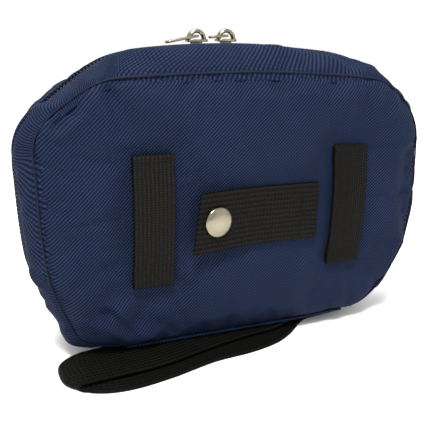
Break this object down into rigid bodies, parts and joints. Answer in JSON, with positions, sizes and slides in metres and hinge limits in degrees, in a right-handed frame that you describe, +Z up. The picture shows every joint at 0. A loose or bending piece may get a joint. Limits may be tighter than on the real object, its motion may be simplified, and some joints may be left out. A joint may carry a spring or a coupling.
{
  "type": "cash deposit bag",
  "caption": "Padded zip pouch for cash with rounded corners, a clamshell zip opening, belt loops, a press-stud keeper tab and a webbing wrist strap.",
  "frame": {"origin": "middle of the flat part of the bottom gusset that the bag stands on, on the standing surface", "axes": "+Z up; -Y out of the belt side, which carries the belt loops and the tab; +X along the bag's width, towards the end where the wrist strap is sewn in"},
  "size_m": [0.2202, 0.0776, 0.1583],
  "materials": {
    "shell_fabric": "navy oxford weave, coated",
    "foam": "padding foam",
    "lining": "plain nylon lining",
    "binding_tape": "black polyester tape",
    "coil": "black nylon coil",
    "loop_webbing": "ribbed polypropylene webbing",
    "tab_webbing": "heavy chevron webbing",
    "strap_webbing": "heavy webbing",
    "nickel": "nickel plate"
  },
  "bodies": {
    "rear_half": {"back_panel": "shell_fabric", "back_foam": "foam", "back_lining": "lining", "rear_zip_gusset": "shell_fabric", "bottom_gusset": "shell_fabric", "zip_tape_rear": "binding_tape", "zip_coil_rear": "coil", "seam_binding_rear": "binding_tape", "belt_loop_left": "loop_webbing", "belt_loop_right": "loop_webbing", "snap_tab_sewn_end": "tab_webbing", "snap_stud": "nickel", "snap_stud_rivet": "nickel", "zip_stop_left": "nickel", "zip_stop_right": "nickel", "wrist_strap_anchor": "strap_webbing"},
    "front_half": {"front_panel": "shell_fabric", "front_foam": "foam", "front_lining": "lining", "front_zip_gusset": "shell_fabric", "zip_tape_front": "binding_tape", "zip_coil_front": "coil", "seam_binding_front": "binding_tape"},
    "slider_left": {"slider_left": "nickel"},
    "slider_right": {"slider_right": "nickel"},
    "pull_left": {"pull_left": "nickel"},
    "pull_right": {"pull_right": "nickel"},
    "snap_tab": {"snap_tab_flap": "tab_webbing", "snap_cap": "nickel", "snap_socket": "nickel"},
    "wrist_strap": {"wrist_strap": "strap_webbing"}
  },
  "joints": [
    {"name": "front_opening", "type": "hinge", "parent": "rear_half", "child": "front_half", "pos_m": [0, 0.01117, 0.0049], "axis": [-1, 0, 0], "range_deg": [0, 80]},
    {"name": "slider_left_travel", "type": "hinge", "parent": "rear_half", "child": "slider_left", "pos_m": [0, -0.01162, -0.39841], "axis": [0, -1, 0], "range_deg": [0, 2.3]},
    {"name": "slider_right_travel", "type": "hinge", "parent": "rear_half", "child": "slider_right", "pos_m": [0, -0.01162, -0.39841], "axis": [0, 1, 0], "range_deg": [0, 5.4]},
    {"name": "pull_left_swing", "type": "hinge", "parent": "slider_left", "child": "pull_left", "pos_m": [-0.02299, -0.01162, 0.15496], "axis": [0, 1, 0], "range_deg": [0, 140]},
    {"name": "pull_right_swing", "type": "hinge", "parent": "slider_right", "child": "pull_right", "pos_m": [-0.00719, -0.01162, 0.15539], "axis": [0, 1, 0], "range_deg": [0, 140]},
    {"name": "snap_tab_swing", "type": "hinge", "parent": "rear_half", "child": "snap_tab", "pos_m": [0.02455, -0.03952, 0.0693], "axis": [0, 0, 1], "range_deg": [0, 150]},
    {"name": "wrist_strap_swing", "type": "hinge", "parent": "rear_half", "child": "wrist_strap", "pos_m": [0.06409, -0.01162, 0.002], "axis": [0, -1, 0], "range_deg": [0, 180]}
  ]
}
